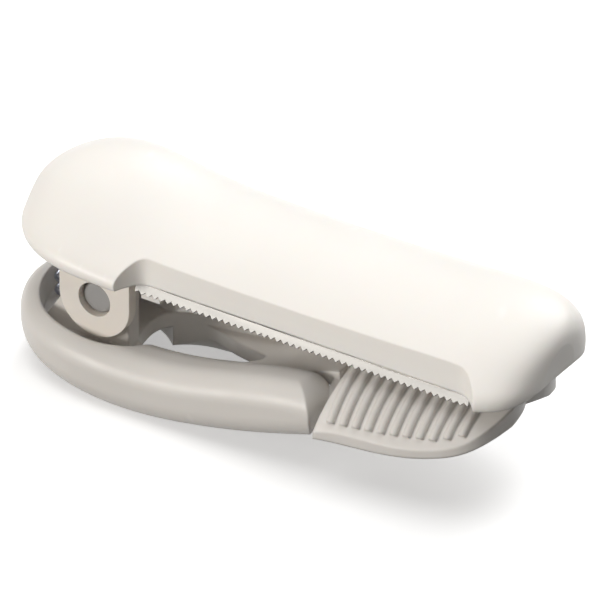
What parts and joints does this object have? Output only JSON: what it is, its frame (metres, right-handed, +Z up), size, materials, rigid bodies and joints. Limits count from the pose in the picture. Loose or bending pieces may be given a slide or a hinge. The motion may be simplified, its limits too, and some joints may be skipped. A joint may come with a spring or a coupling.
{
  "type": "clip-on tape cutter",
  "caption": "Small clip-on tape cutter: white sprung jaw with a saw-tooth steel blade, grey ring handle and ribbed jaw.",
  "frame": {"origin": "centre of the bounding box at its lowest point, under the ring handle", "axes": "+X from the handle end to the jaw tip, along the blade; -Y the blade side; +Z up through the white cover"},
  "size_m": [0.0476, 0.0158, 0.0167],
  "materials": {
    "white_plastic": "satin",
    "grey_plastic": "satin",
    "blade_steel": "brushed",
    "spring_steel": "drawn wire"
  },
  "bodies": {
    "upper": {"top_cover": "white_plastic", "inner_frame": "white_plastic", "cutting_blade": "blade_steel", "blade_clamp": "grey_plastic", "return_spring": "spring_steel"},
    "lever": {"lever_handle": "grey_plastic", "jaw_shoe": "grey_plastic", "pivot_pin": "grey_plastic"}
  },
  "joints": [
    {"name": "lever_pivot", "type": "hinge", "parent": "upper", "child": "lever", "pos_m": [-0.01486, 0, 0.00771], "axis": [0, 1, 0], "range_deg": [0, 25], "stiffness_Nm_per_rad": 0.15, "springref_deg": -22.92, "deforming": ["return_spring"]}
  ]
}
